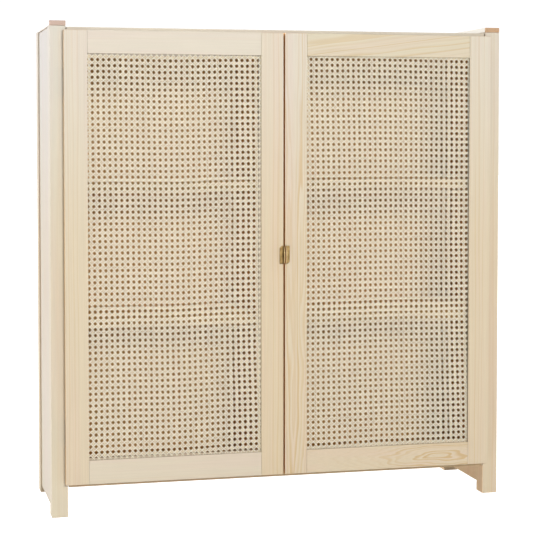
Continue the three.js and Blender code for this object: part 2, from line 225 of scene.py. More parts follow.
def quad_mesh(name, points, quads):
    """A mesh from an array of points and an array of four-cornered faces."""
    mesh = bpy.data.meshes.new(name)
    mesh.vertices.add(len(points))
    mesh.vertices.foreach_set("co", np.ascontiguousarray(points, np.float32).ravel())
    mesh.loops.add(quads.size)
    mesh.loops.foreach_set("vertex_index", np.ascontiguousarray(quads, np.int32).ravel())
    mesh.polygons.add(len(quads))
    mesh.polygons.foreach_set("loop_start", np.arange(0, quads.size, 4, dtype=np.int32))
    mesh.update(calc_edges=True)
    mesh.shade_smooth()
    return mesh


def joined_mesh(name, parts):
    """One mesh of many parts, each given as its points and its faces."""
    points, quads, count = [], [], 0
    for corners, faces in parts:
        points.append(corners)
        quads.append(faces + count)
        count += len(corners)
    return quad_mesh(name, np.concatenate(points), np.concatenate(quads))


def tube_walls(rows, loop):
    """Faces round a tube of this many rows, each of them a loop of this many points."""
    start = np.arange(rows - 1)[:, None] * loop
    here = np.arange(loop)[None, :]
    after = (here + 1) % loop
    walls = np.stack([start + here, start + loop + here, start + loop + after, start + after], -1)
    return walls.reshape(-1, 4)


def give_material(piece, material):
    """Gives a new piece its only material."""
    piece.data.materials.append(material)


EASED_STEPS = 2
EASED_ANGLE = math.radians(30)
FLAT_ANGLE = math.radians(0.5)
WELD = 1e-6


def eased_copy(node, ease):
    """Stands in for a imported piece: the same solid with its loose triangles joined into whole
    faces and a bevel on every sharp edge."""
    source = frame["nodes"][node]
    shape = bmesh.new()
    shape.from_mesh(source.data)
    bmesh.ops.remove_doubles(shape, verts=shape.verts, dist=WELD)
    bmesh.ops.dissolve_limit(shape, angle_limit=FLAT_ANGLE, verts=shape.verts, edges=shape.edges)
    mesh = bpy.data.meshes.new(node + "_eased")
    shape.to_mesh(mesh)
    shape.free()
    if "custom_normal" in mesh.attributes:
        mesh.attributes.remove(mesh.attributes["custom_normal"])
    mesh.shade_smooth()
    piece = add_piece(mesh, source["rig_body"])
    bevel = piece.modifiers.new("Eased edges", "BEVEL")
    bevel.width = ease
    bevel.segments = EASED_STEPS
    bevel.limit_method = "ANGLE"
    bevel.angle_limit = EASED_ANGLE
    bevel.harden_normals = True
    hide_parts(node)
    return piece


# Shader node helpers

# Where most of a noise's values lie
NOISE_RANGE = (0.3, 0.7)


class Nodes:
    """Adds and joins nodes in one node tree."""

    def __init__(self, tree):
        self.tree = tree

    def add(self, kind, **values):
        node = self.tree.nodes.new("ShaderNode" + kind)
        for key, value in values.items():
            setattr(node, key, value)
        return node

    def join(self, value, socket):
        """Feeds a socket from another one or sets it to a plain value, and leaves it for None."""
        if isinstance(value, bpy.types.NodeSocket):
            self.tree.links.new(value, socket)
        elif value is not None:
            socket.default_value = value

    def fill(self, node, values):
        """Joins a value to each of the named inputs of a node."""
        for name, value in values.items():
            self.join(value, node.inputs[name])

    def place(self):
        """The place on the piece, in the shared frame when the piece is at rest."""
        return self.add("TexCoord").outputs["Object"]

    def split(self, vector):
        """The parts X, Y and Z of a vector."""
        node = self.add("SeparateXYZ")
        self.join(vector, node.inputs[0])
        return node.outputs

    def math(self, operation, a, b=None, c=None):
        node = self.add("Math", operation=operation)
        for value, socket in zip((a, b, c), node.inputs):
            self.join(value, socket)
        return node.outputs[0]

    def vector(self, operation, a, b=None):
        node = self.add("VectorMath", operation=operation)
        self.join(a, node.inputs[0])
        self.join(b, node.inputs[1])
        return node.outputs["Value" if operation == "LENGTH" else "Vector"]

    def smooth(self, value, low, high, to_low=0.0, to_high=1.0):
        """A smooth step from to_low at low to to_high at high."""
        node = self.add("MapRange", interpolation_type="SMOOTHSTEP")
        self.fill(node, {"Value": value, "From Min": low, "From Max": high,
                         "To Min": to_low, "To Max": to_high})
        return node.outputs["Result"]

    def noise(self, vector, scale=1.0, detail=2.0, output="Fac"):
        node = self.add("TexNoise")
        self.fill(node, {"Vector": vector, "Scale": scale, "Detail": detail})
        return node.outputs[output]

    def mix(self, factor, a, b, blend="MIX"):
        node = self.add("Mix", data_type="RGBA", blend_type=blend)
        self.join(factor, node.inputs[0])
        self.join(a, node.inputs[6])
        self.join(b, node.inputs[7])
        return node.outputs[2]

    def tint(self, mask, colour, tone):
        """The colour, multiplied by a tone where the mask is one."""
        return self.mix(mask, colour, self.mix(1.0, colour, rgba(tone), "MULTIPLY"))

    def group(self, name, values):
        node = self.add("Group", node_tree=bpy.data.node_groups[name])
        self.fill(node, values)
        return node.outputs


def rgba(colour):
    """A colour with full alpha."""
    return (*colour, 1.0)


def new_material(name):
    """A material with its helper for nodes and its shader."""
    material = bpy.data.materials.new(name)
    material.use_nodes = True
    tree = material.node_tree
    return material, Nodes(tree), tree.nodes["Principled BSDF"]


def new_group(name, inputs, outputs):
    """An empty shader group: its helper for nodes, what it is given and its output node. Inputs
    says the kind of each input, and all outputs are numbers."""
    tree = bpy.data.node_groups.new(name, "ShaderNodeTree")
    for socket, kind in inputs.items():
        tree.interface.new_socket(socket, in_out="INPUT", socket_type="NodeSocket" + kind)
    for socket in outputs:
        tree.interface.new_socket(socket, in_out="OUTPUT", socket_type="NodeSocketFloat")
    given, out = (tree.nodes.new("NodeGroup" + kind) for kind in ("Input", "Output"))
    return Nodes(tree), given.outputs, out


# Scales of the noises of the pine: along, across and through a board
WANDER_SCALE = (2.6, 9.0, 9.0)
UNEVEN_SCALE = (0.9, 75.0, 75.0)
FIBRE_SCALE = (7.0, 620.0, 620.0)
DRIFT_SCALE = (1.3, 30.0, 30.0)
# Growth rings: their shift by the uneven noise, the late wood's part of each and their weights
UNEVEN_TURNS = 2.6
LATE_RISE = (0.15, 0.8)
LATE_FALL = (0.84, 1.0)
WEIGHT_POWER = 1.6
LEAST_WEIGHT = 0.1
ZONE_SOFT = 0.0002


def build_growth_rings():
    """Growth rings round a wandering pith. X runs along the board. The distance from the pith,
    divided by the ring width and shifted by a slow noise, gives a sawtooth whose last part is the
    late wood. Each ring has its own weight."""
    nodes, given, out = new_group(
        "Growth rings", {"Vector": "Vector", "Ring width": "Float", "Swirl": "Float"},
        ("Late", "Fibre", "Drift"))

    def noise(scale, **values):
        return nodes.noise(nodes.vector("MULTIPLY", given["Vector"], scale), **values)

    wander = nodes.vector("SUBTRACT", noise(WANDER_SCALE, output="Color"), (0.5, 0.5, 0.5))
    strength = nodes.add("VectorMath", operation="SCALE")
    nodes.fill(strength, {"Vector": wander, "Scale": given["Swirl"]})
    moved = nodes.vector("ADD", given["Vector"], strength.outputs["Vector"])
    radius = nodes.vector("LENGTH", nodes.vector("MULTIPLY", moved, (0.0, 1.0, 1.0)))
    uneven = noise(UNEVEN_SCALE, detail=1.0)
    rings = nodes.math("DIVIDE", radius, given["Ring width"])
    turns = nodes.math("MULTIPLY_ADD", uneven, UNEVEN_TURNS, rings)
    share = nodes.math("FRACT", turns)
    rise = nodes.smooth(share, *LATE_RISE)
    fall = nodes.smooth(share, *LATE_FALL, 1.0, 0.0)
    own = nodes.add("TexWhiteNoise", noise_dimensions="1D")
    nodes.join(nodes.math("FLOOR", turns), own.inputs["W"])
    weight = nodes.math("MULTIPLY_ADD", nodes.math("POWER", own.outputs["Value"], WEIGHT_POWER),
                        1 - LEAST_WEIGHT, LEAST_WEIGHT)
    late = nodes.math("MULTIPLY", nodes.math("MULTIPLY", rise, fall), weight)
    nodes.fill(out, {"Late": late, "Fibre": noise(FIBRE_SCALE, detail=3.0),
                     "Drift": noise(DRIFT_SCALE)})


def build_zone():
    """Where a point lies in a box with soft sides: one inside it and nothing outside."""
    nodes, given, out = new_group(
        "Zone", {"Vector": "Vector", "Middle": "Vector", "Half": "Vector"}, ("Inside",))
    away = nodes.vector("ABSOLUTE", nodes.vector("SUBTRACT", given["Vector"], given["Middle"]))
    depth = nodes.split(nodes.vector("SUBTRACT", given["Half"], away))
    least = nodes.math("MINIMUM", nodes.math("MINIMUM", depth["X"], depth["Y"]), depth["Z"])
    nodes.fill(out, {"Inside": nodes.smooth(least, -ZONE_SOFT, ZONE_SOFT)})


# Pine. Each board has its own figure: how it lay in the log.

GRAIN_TURNS = {"X": (0, 0, 0), "Y": (0, 0, -math.pi / 2), "Z": (0, math.pi / 2, 0)}
# Depth of wood that counts as a face, and a distance past every board
SKIN = 0.0006
FAR = 1.0
END_STRENGTH = 0.8
# Heights between which painted light makes the boards whiter and cooler
TOP_LIGHT_HEIGHTS = (0.6, 1.25)
DRIFT_RANGE = (0.4, 0.66)
# Share of the contrast that is left where the rings fade
FADED = 0.2
FIBRE_TONE = (0.965, 1.025)
FIBRE_BUMP = {"Strength": 0.25, "Distance": 0.0002}
PINE_ROUGHNESS = (0.56, 0.44)

# Painted light and shade: tones that single faces are multiplied by
# Painted shade on the outer edges of the doors
OUTER_EDGE_SHADE = (0.8, 0.62, 0.4)
# Painted light on the inner sides of the legs, below the bottom board
LEG_INSIDE_LIGHT = (1.6, 1.48, 1.36)
# Painted light on the tops of the shelves and of the bottom board inside the case
SHELF_TOP_LIGHT = (1.32, 1.5, 1.5)
# Painted shade on the front edges of the shelves
SHELF_FRONT_SHADE = (0.74, 0.72, 0.66)


class Figure(NamedTuple):
    """How a board lay in its log. The pith lies this far from the board's middle in the board's
    own Y and Z, and leans towards them by these slopes. Tone multiplies the board's colours. The
    rings come in between the two places of fade along the grain."""

    grain: str
    pith_y: float
    pith_z: float
    ring_width: float
    swirl: float
    contrast: float = 0.45
    lean_y: float = 0.0
    lean_z: float = 0.0
    tone: tuple = (1.0, 1.0, 1.0)
    end: tuple = ()
    fade: tuple = ()


def zone(nodes, place, low, high):
    """Mask of the box between two corners, from the shared group."""
    return nodes.group("Zone", {"Vector": place, "Middle": (low + high) / 2,
                                "Half": (high - low) / 2})["Inside"]


def case_inside():
    """The room inside the case behind its front edges, with a skin of the wood round it."""
    left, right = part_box("left_side_panel")[1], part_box("right_side_panel")[0]
    bottom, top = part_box("bottom_board")[1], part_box("top_board")[0]
    skin = Vector((SKIN, SKIN, SKIN))
    low = Vector((left.x, top.y + 2 * SKIN, bottom.z))
    high = Vector((right.x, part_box("back_panel")[0].y, top.z))
    return low - skin, high + skin


def leg_room(node):
    """The room between the legs, with a skin of this post or side panel."""
    low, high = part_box(node)
    left = "left" in node
    return (Vector((high.x - SKIN if left else -FAR, -FAR, -FAR)),
            Vector((FAR if left else low.x + SKIN, FAR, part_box("bottom_board")[0].z)))


def door_band():
    """The thickness of the doors between their front and back faces."""
    low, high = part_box("left_door_outer_stile")[0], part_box("right_door_outer_stile")[1]
    return low + Vector((-FAR, SKIN, -FAR)), high + Vector((FAR, -SKIN, FAR))


def door_heart(side):
    """One door without a skin of wood on its hinge edge and its meeting edge."""
    corners = [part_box(f"{side}_door_{stile}_stile") for stile in ("outer", "inner")]
    skin = Vector((SKIN, -FAR, -FAR))
    low = Vector(map(min, *(box[0] for box in corners)))
    high = Vector(map(max, *(box[1] for box in corners)))
    return low + skin, high - skin


def painted_tones(nodes, node, place, parts):
    """Masks and tones of the painted light and shade on this board: painted shade on the outer and
    meeting edges of the doors and inside the case, painted light on the tops of the shelves, painted
    shade on their fronts and painted light on the inner sides of the legs."""
    low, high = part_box(node)
    if "door" in node:
        # Painted shade: darker, warmer tones on the doors' outer and meeting edges
        heart = zone(nodes, place, *door_heart(node.split("_")[0]))
        edges = nodes.math("SUBTRACT", zone(nodes, place, *door_band()), heart)
        tone = OUTER_EDGE_SHADE if "outer" in node else settings("wood").edge
        return [(nodes.math("MAXIMUM", edges, 0.0), tone)]
    # Painted shade over the wood inside the case
    inside = zone(nodes, place, *case_inside())
    tones = [(inside, settings("wood").inside)]
    shelf = node.endswith("shelf")
    # Painted light on the tops of the shelves and the bottom board
    if shelf or node == "bottom_board":
        top = nodes.math("GREATER_THAN", parts["Z"], high.z - SKIN)
        tones.append((nodes.math("MULTIPLY", top, inside), SHELF_TOP_LIGHT))
    # Painted shade on the front edges of the shelves
    if shelf:
        tones.append((nodes.math("LESS_THAN", parts["Y"], low.y + SKIN), SHELF_FRONT_SHADE))
    # Painted light on the inner sides of the legs, below the bottom board
    if node.endswith(("post", "side_panel")):
        tones.append((zone(nodes, place, *leg_room(node)), LEG_INSIDE_LIGHT))
    return tones


def log_rings(nodes, place, middle, figure):
    """The growth rings of the log that a board with this middle was cut from."""
    turn = Euler(GRAIN_TURNS[figure.grain]).to_matrix()
    lean = Matrix(((1, 0, 0), (figure.lean_y, 1, 0), (figure.lean_z, 0, 1)))
    upright = (lean @ turn).to_quaternion().to_matrix()
    pith = Vector((0, figure.pith_y, figure.pith_z))
    turned = nodes.add("Mapping")
    nodes.fill(turned, {"Vector": place, "Rotation": upright.to_euler(),
                        "Location": -(upright @ middle) - pith})
    return nodes.group("Growth rings", {"Vector": turned.outputs["Vector"],
                                        "Ring width": figure.ring_width, "Swirl": figure.swirl})


def pine_material(node, figure):
    """Pine for one board: growth rings, fibre, a drift of tone, painted light that makes the wood whiter
    and cooler higher up, darker cut ends and painted light and shade on single faces."""
    wood = settings("wood")
    low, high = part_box(node)
    middle = (low + high) / 2
    axis = "XYZ".index(figure.grain)
    material, nodes, shader = new_material("Pine " + node.replace("_", " "))
    place = nodes.place()
    parts = nodes.split(place)
    rings = log_rings(nodes, place, middle, figure)

    def toned(colour):
        return rgba(Vector(colour) * Vector(figure.tone))

    drift = nodes.smooth(rings["Drift"], *DRIFT_RANGE)
    ground = nodes.mix(drift, toned(wood.early), toned(wood.flush))
    contrast = figure.contrast
    if figure.fade:
        contrast = nodes.smooth(parts[axis], *figure.fade, FADED * contrast, contrast)
    lines = nodes.math("MULTIPLY", rings["Late"], contrast)
    figured = nodes.mix(lines, ground, toned(wood.late))
    fibre = nodes.smooth(rings["Fibre"], *NOISE_RANGE, *FIBRE_TONE)
    colour = nodes.mix(1.0, figured, fibre, "MULTIPLY")
    # Painted light: whiter, cooler wood higher up
    colour = nodes.tint(nodes.smooth(parts["Z"], *TOP_LIGHT_HEIGHTS), colour, wood.top_light_tint)
    reach = nodes.math("ABSOLUTE", nodes.math("SUBTRACT", parts[axis], middle[axis]))
    cut = nodes.math("GREATER_THAN", reach, (high - low)[axis] / 2 - SKIN)
    cut = nodes.math("MULTIPLY", cut, END_STRENGTH)
    colour = nodes.mix(cut, colour, rgba(figure.end or wood.end))
    # Painted light and shade on single faces
    for mask, tone in painted_tones(nodes, node, place, parts):
        colour = nodes.tint(mask, colour, tone)
    bump = nodes.add("Bump")
    nodes.fill(bump, {"Height": rings["Fibre"], **FIBRE_BUMP})
    nodes.fill(shader, {"Base Color": colour, "Normal": bump.outputs["Normal"],
                        "Roughness": nodes.smooth(rings["Late"], 0.0, 1.0, *PINE_ROUGHNESS)})
    return material


PINK = (0.94, 1.0, 1.11)
# Painted light: a much whiter tone that makes the cap rails look washed out by strong light
CAP_LIGHT_TONE = (1.45, 1.54, 1.75)
FIGURES = {
    "front_left_post": Figure("Z", -0.09, 0.03, 0.006, 0.006, 0.25, tone=(0.985, 1.03, 1.08)),
    "front_right_post": Figure("Z", 0.075, 0.045, 0.0068, 0.008, 0.5),
    "back_left_post": Figure("Z", 0.06, -0.08, 0.005, 0.006),
    "back_right_post": Figure("Z", -0.07, 0.06, 0.0056, 0.006),
    "left_side_panel": Figure("Z", 0.01, 0.06, 0.0085, 0.022, 0.55, lean_z=0.05, tone=PINK),
    "right_side_panel": Figure("Z", -0.02, -0.055, 0.0078, 0.022, 0.5, lean_z=0.04),
    # The cap rails are whitened by painted light
    "left_cap_rail": Figure("Y", 0.03, 0.012, 0.004, 0.004, tone=CAP_LIGHT_TONE, end=(0.385, 0.22, 0.145)),
    "right_cap_rail": Figure("Y", -0.026, 0.015, 0.0044, 0.004, tone=CAP_LIGHT_TONE, end=(0.365, 0.15, 0.008)),
    # The bottom board's darker tone is painted shade: its front edge lies in the shade of the doors
    "bottom_board": Figure("X", 0.04, 0.06, 0.007, 0.014, tone=(0.66, 0.58, 0.46)),
    "top_board": Figure("X", -0.03, -0.05, 0.0072, 0.014, lean_z=0.03),
    "partition": Figure("Z", 0.03, 0.06, 0.008, 0.014),
    "back_panel": Figure("Z", 0.04, 0.02, 0.0085, 0.03, lean_y=0.03),
    "lower_left_shelf": Figure("X", 0.05, 0.04, 0.0075, 0.012),
    "upper_left_shelf": Figure("X", -0.04, 0.05, 0.007, 0.012),
    "lower_right_shelf": Figure("X", 0.02, -0.06, 0.008, 0.014),
    "upper_right_shelf": Figure("X", -0.05, -0.04, 0.0074, 0.012),
    "left_door_outer_stile": Figure("Z", 0.015, 0.11, 0.0064, 0.008),
    "left_door_inner_stile": Figure("Z", 0.02, -0.12, 0.0066, 0.008, 0.6, tone=(1.0, 0.98, 0.94)),
    "left_door_top_rail": Figure("X", 0.09, 0.08, 0.005, 0.006, 0.2),
    "left_door_bottom_rail": Figure("X", 0.08, -0.09, 0.0062, 0.006, 0.2, tone=(1.0, 1.04, 1.13)),
    "right_door_outer_stile": Figure("Z", -0.01, 0.1, 0.006, 0.008, 0.6),
    "right_door_inner_stile": Figure("Z", 0.014, 0.01, 0.0055, 0.03, 1.0, lean_y=0.03),
    "right_door_top_rail": Figure("X", 0.06, 0.06, 0.0062, 0.03, 0.9, lean_z=-0.28,
                                  tone=(0.97, 0.95, 0.86)),
    "right_door_bottom_rail": Figure("X", -0.034, -0.003, 0.005, 0.016, 1.5, lean_y=-0.33,
                                     fade=(0.22, 0.4)),
}
BEAD_FIGURE = Figure("Z", 0.05, 0.04, 0.006, 0.006)
BEAD_GRAINS = {"top": "X", "bottom": "X", "outer": "Z", "inner": "Z"}


def dress_boards(doors):
    """Gives each board of the doors, or of the rest, an eased copy with its own pine."""
    for node, figure in FIGURES.items():
        if ("door" in node) == doors:
            give_material(eased_copy(node, settings("wood").ease), pine_material(node, figure))


class CABINET_OT_carcass(Operator):
    """Dress the posts, panels, boards, shelves and back in eased pine"""

    bl_idname = "cabinet.carcass"
    bl_label = "Carcass"

    def execute(self, context):
        dress_boards(doors=False)
        return {"FINISHED"}


class CABINET_OT_door_frames(Operator):
    """Dress the stiles, rails and beads of both doors in eased pine"""

    bl_idname = "cabinet.door_frames"
    bl_label = "Door frames"

    def execute(self, context):
        dress_boards(doors=True)
        for side in SIDES:
            for place, grain in BEAD_GRAINS.items():
                node = f"{side}_door_{place}_bead"
                bead = eased_copy(node, settings("wood").ease / 2)
                give_material(bead, pine_material(node, BEAD_FIGURE._replace(grain=grain)))
        return {"FINISHED"}


# Woven cane

# Slow waves of each lattice: turns across, turns up, and millimetres across and up
WAVES = {
    "left": ((0, 1, 3.16, -0.14), (1, 0, -0.28, -1.4), (2, 0, 0.31, 1.25), (0, 2, 0.21, -1.0),
             (0, 3, 0.64, -0.02), (1, 2, -0.67, 0.11), (1, 3, -0.67, -0.11), (4, 0, 0.03, -0.39)),
    "right": ((0, 1, 3.14, 0.18), (1, 2, -1.85, 0.17), (0, 3, 1.0, 0.46), (2, 0, -0.15, -0.88),
              (1, 1, -1.0, -0.52), (0, 2, 0.15, -0.63), (1, 0, 0.46, 0.17), (0, 5, 0.39, 0.14)),
}
MIDDLE_HOLES = {"left": (-0.27672, 0.66725), "right": (0.29139, 0.65955)}
MILLI = 0.001
# A strand's width over half its front's, and how far strands lie off the middle, in thicknesses
FRONT_NARROWING = 3.4
STRAIGHT_LEVEL = 0.66
SLANT_LEVEL = 1.48
STRAY_TURNS = (1, 6)
STRAY_PHASE = (0, 6.3)
WEAVE_SEED = 11
SHADE_SEED = 31
SEEDS_APART = 7
MOTTLE_SCALE = 140.0
PATCH_SCALE = 9.0
# The darker tone's share: where it starts, and what patches, mottling and the strand add
DARKER_FROM = -0.35
PATCH_SHARE = 0.5
MOTTLE_SHARE = 0.7
STRAND_SHARE = 0.5
# The slanting strands' material carries a painted highlight, and that of the upright and level strands
# painted shade
CANE_TOP_LIT = {"darker": 0.95, "gloss": 0.8}
CANE_UNDER_SHADED = {"darker": 0.88, "gloss": 0.1}
CANE_ROUGHNESS = (0.4, 0.52)
CANE_FINISH = {"Specular IOR Level": 0.8, "Coat Roughness": 0.42, "Coat IOR": 1.6}


def strand(points, width, thickness):
    """One strand along points of (across, depth, up), as its corners and its faces: at each point
    a ring of four corners, narrower at the front, and a cap at both ends."""
    along = np.gradient(points, axis=0)
    along[:, 1] = 0
    along /= np.linalg.norm(along, axis=1)[:, None]
    beside = np.stack([along[:, 2], np.zeros(len(points)), -along[:, 0]], 1)
    front = np.array([0.0, -1.0, 0.0])
    corners = [
        points - beside * width / 2 - front * thickness / 2,
        points + beside * width / 2 - front * thickness / 2,
        points + beside * width / FRONT_NARROWING + front * thickness / 2,
        points - beside * width / FRONT_NARROWING + front * thickness / 2,
    ]
    walls = tube_walls(len(points), 4)
    cap = np.arange(4)
    caps = [cap, 4 * len(points) - 1 - cap]
    return np.stack(corners, 1).reshape(-1, 3), np.concatenate([walls, caps])


class Weave:
    """The lattice of one cane panel. Holes lie at whole numbers of (u, v), pairs of upright and
    level strands at the halves, and the slanting strands run halfway between the holes. The whole
    lattice is stretched by slow waves, each a cosine across times a cosine up."""

    def __init__(self, side, seed):
        self.cane = cane = settings("cane")
        low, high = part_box(f"{side}_door_cane_panel")
        self.pitch = np.array([cane.pitch_across, cane.pitch_up])
        self.origin = np.array(MIDDLE_HOLES[side])
        self.waves = WAVES[side]
        self.tight, self.wide, self.bound = (
            apart / 2 / self.pitch for apart in (cane.pair_tight, cane.pair_wide, cane.pair_bound))
        self.middle = (low.y + high.y) / 2
        self.corner = np.array([low.x, low.z])
        self.size = np.array([high.x, high.z]) - self.corner
        self.first = (self.corner - self.origin) / self.pitch
        self.last = self.first + self.size / self.pitch
        self.rng = np.random.default_rng(seed)

    def place(self, u, v, height):
        """Points of (across, depth, up) for lattice places and heights in front of the middle."""
        flat = self.origin + np.stack([u, v], -1) * self.pitch
        share = (flat - self.corner) / self.size * math.pi
        for turns_across, turns_up, across, up in self.waves:
            wave = np.cos(turns_across * share[:, 0]) * np.cos(turns_up * share[:, 1])
            flat += wave[:, None] * np.array([across, up]) * MILLI
        room = self.cane.straight_width / 2
        flat = np.clip(flat, self.corner + room, self.corner + self.size - room)
        return np.stack([flat[:, 0], self.middle - height, flat[:, 1]], -1)

    def stray(self, count):
        """A small slow wander of one strand, in metres at each of its points."""
        size = self.cane.jitter
        start = self.rng.normal(0, size)
        turns, phase = self.rng.uniform(*STRAY_TURNS), self.rng.uniform(*STRAY_PHASE)
        return start + size * np.sin(phase + turns * np.linspace(0, 2 * math.pi, count))

    def halves(self, axis):
        """The halves that lie inside the panel along one lattice axis."""
        first, last = math.ceil(self.first[axis] - 0.5), math.floor(self.last[axis] - 0.5)
        return np.arange(first, last + 1) + 0.5

    def straight(self, axis):
        """All the strands that run along one lattice axis, 0 for level ones and 1 for uprights.
        A strand passes the two strands of a pair that it crosses on opposite sides, and is level
        beside them. Its distance from its twin is least there and greatest between crossings."""
        other = 1 - axis
        halves = self.halves(axis)
        apart = self.tight[axis]
        steps = np.array([-0.5, -0.25, -apart, apart, 0.25])
        places = (halves[:, None] + steps).ravel()
        signs = np.tile([0.0, 0.0, -1.0, 1.0, 0.0], len(halves))
        tight, wide, bound = self.tight[other], self.wide[other], self.bound[other]
        reach = np.tile([bound, wide, tight, tight, wide], len(halves))
        inside = (places > self.first[axis]) & (places < self.last[axis])
        places = np.concatenate([[self.first[axis]], places[inside], [self.last[axis]]])
        signs = np.pad(signs[inside], 1)
        reach = np.pad(reach[inside], 1, constant_values=bound)
        turn = -1 if axis == 1 else 1
        for half in self.halves(other):
            for side in (-1, 1):
                beside = half + side * reach + self.stray(len(places)) / self.pitch[other]
                height = turn * side * signs * (self.cane.thickness * STRAIGHT_LEVEL)
                u, v = (beside, places) if axis == 1 else (places, beside)
                yield self.place(u, v, height), self.cane.straight_width

    def slanting(self):
        """All the slanting strands. Those that rise pass behind the uprights and in front of the
        level strands, and those that fall pass the other way round."""
        offset = self.bound.mean()
        quarter = np.arange(math.floor(self.first[0]) - 1, math.ceil(self.last[0]) + 2)
        steps = np.array([-offset, offset, 0.5 - offset, 0.5 + offset])
        across = (quarter[:, None] + steps).ravel()
        signs = np.tile([1.0, 1.0, -1.0, -1.0], len(quarter))
        for rise in (1, -1):
            low_v, high_v = sorted((rise * self.first[1], rise * self.last[1]))
            start = math.floor(self.first[0] - high_v - 0.5)
            end = math.ceil(self.last[0] - low_v - 0.5)
            for line in range(start, end + 1):
                up = rise * (across - line - 0.5)
                inside = ((across > self.first[0]) & (across < self.last[0])
                          & (up > self.first[1]) & (up < self.last[1]))
                if inside.sum() > 2:
                    height = rise * signs[inside] * (self.cane.thickness * SLANT_LEVEL)
                    moved = across[inside] + self.stray(inside.sum()) / self.pitch[0]
                    yield self.place(moved, up[inside], height), self.cane.slant_width


def join_strands(name, strands, seed):
    """One mesh of many strands. Each strand has its own shade in the attribute strand_shade."""
    rng = np.random.default_rng(seed)
    thickness = settings("cane").thickness
    parts, shades = [], []
    for path, width in strands:
        parts.append(strand(path, width, thickness))
        shades.append(np.full(len(parts[-1][0]), rng.random(), np.float32))
    mesh = joined_mesh(name, parts)
    shade = mesh.attributes.new("strand_shade", "FLOAT", "POINT")
    shade.data.foreach_set("value", np.concatenate(shades))
    return mesh


def cane_material(name, colour, darker, gloss):
    """Glossy cane between a colour and a darker share of it: each strand has its own shade, with
    fine mottling and broad patches."""
    material, nodes, shader = new_material(name)
    place = nodes.place()
    shade = nodes.add("Attribute", attribute_name="strand_shade").outputs["Fac"]
    mottle = nodes.noise(place, scale=MOTTLE_SCALE, detail=3.0)
    patch = nodes.noise(place, scale=PATCH_SCALE, detail=1.0)
    factor = DARKER_FROM
    for value, share in ((patch, PATCH_SHARE), (mottle, MOTTLE_SHARE), (shade, STRAND_SHARE)):
        factor = nodes.math("MULTIPLY_ADD", value, share, factor)
    tones = rgba(colour), rgba(darker * Vector(colour))
    nodes.fill(shader, {"Base Color": nodes.mix(nodes.smooth(factor, 0.0, 1.0), *tones),
                        "Roughness": nodes.smooth(mottle, *NOISE_RANGE, *CANE_ROUGHNESS),
                        "Coat Weight": gloss, **CANE_FINISH})
    return material


class CABINET_OT_cane(Operator):
    """Weave the cane of both doors strand by strand"""

    bl_idname = "cabinet.cane"
    bl_label = "Cane"

    def execute(self, context):
        cane = settings("cane")
        # Painted highlight on the slanting strands and painted shade on the others
        top = cane_material("Cane top lit", cane.pale, **CANE_TOP_LIT)
        under = cane_material("Cane under shaded", cane.dull, **CANE_UNDER_SHADED)
        for index, side in enumerate(SIDES):
            node = f"{side}_door_cane_panel"
            weave = Weave(side, seed=WEAVE_SEED + index)
            sets = {"uprights": weave.straight(1), "level_strands": weave.straight(0),
                    "slanting_strands": weave.slanting()}
            for number, (name, strands) in enumerate(sets.items()):
                seed = SHADE_SEED + SEEDS_APART * index + number
                mesh = join_strands(f"{side}_door_cane_{name}", strands, seed)
                piece = add_piece(mesh, side + "_door")
                give_material(piece, top if name == "slanting_strands" else under)
                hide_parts(node)
        return {"FINISHED"}


# Metal and plastic

PATCH_RANGE = (0.35, 0.65)
SCRATCH_SCALE = (900.0, 900.0, 60.0)
ROUGHNESS_SPREAD = 0.08
LIP_BACK_METALLIC = 0.35
PULL_BRASS = {"roughness": 0.42, "patch_scale": 90.0}
HINGE_BRASS = {"roughness": 0.3, "patch_scale": 40.0}
ZINC = {"bright": (0.62, 0.62, 0.63), "dark": (0.5, 0.5, 0.52), "roughness": 0.36,
        "patch_scale": 60.0}
PLASTIC_BROWNS = ((0.17, 0.09, 0.045), (0.22, 0.12, 0.06))
PLASTIC_ROUGHNESS = (0.45, 0.6)
PLASTIC_GRAIN = 700.0


def metal_material(name, bright, dark, roughness, patch_scale):
    """Metal that shifts between a bright and a darkened tone in soft patches. A point attribute paints
    shade where it is one, and where it is minus one the metal takes a brighter colour and is less
    metallic."""
    material, nodes, shader = new_material(name)
    place = nodes.place()
    patch = nodes.noise(place, scale=patch_scale, detail=3.0)
    scratch = nodes.noise(nodes.vector("MULTIPLY", place, SCRATCH_SCALE), detail=2.0)
    patina = nodes.add("Attribute", attribute_name="patina").outputs["Fac"]
    # Painted shade where the point attribute is one, over the patches
    factor = nodes.math("MAXIMUM", nodes.smooth(patch, *PATCH_RANGE), patina)
    lip_back = nodes.smooth(patina, 0.0, -1.0)
    colour = nodes.mix(factor, rgba(bright), rgba(dark))
    rough = roughness - ROUGHNESS_SPREAD, roughness + ROUGHNESS_SPREAD
    nodes.fill(shader, {"Base Color": nodes.mix(lip_back, colour, rgba(settings("brass").lip_back)),
                        "Roughness": nodes.smooth(scratch, *NOISE_RANGE, *rough),
                        "Metallic": nodes.smooth(lip_back, 0.0, 1.0, 1.0, LIP_BACK_METALLIC)})
    return material


def plastic_material():
    """Brown plastic with a fine grain."""
    material, nodes, shader = new_material("Catch plastic")
    grain = nodes.noise(nodes.place(), scale=PLASTIC_GRAIN)
    nodes.fill(shader, {"Base Color": nodes.mix(grain, *map(rgba, PLASTIC_BROWNS)),
                        "Roughness": nodes.smooth(grain, *NOISE_RANGE, *PLASTIC_ROUGHNESS)})
    return material


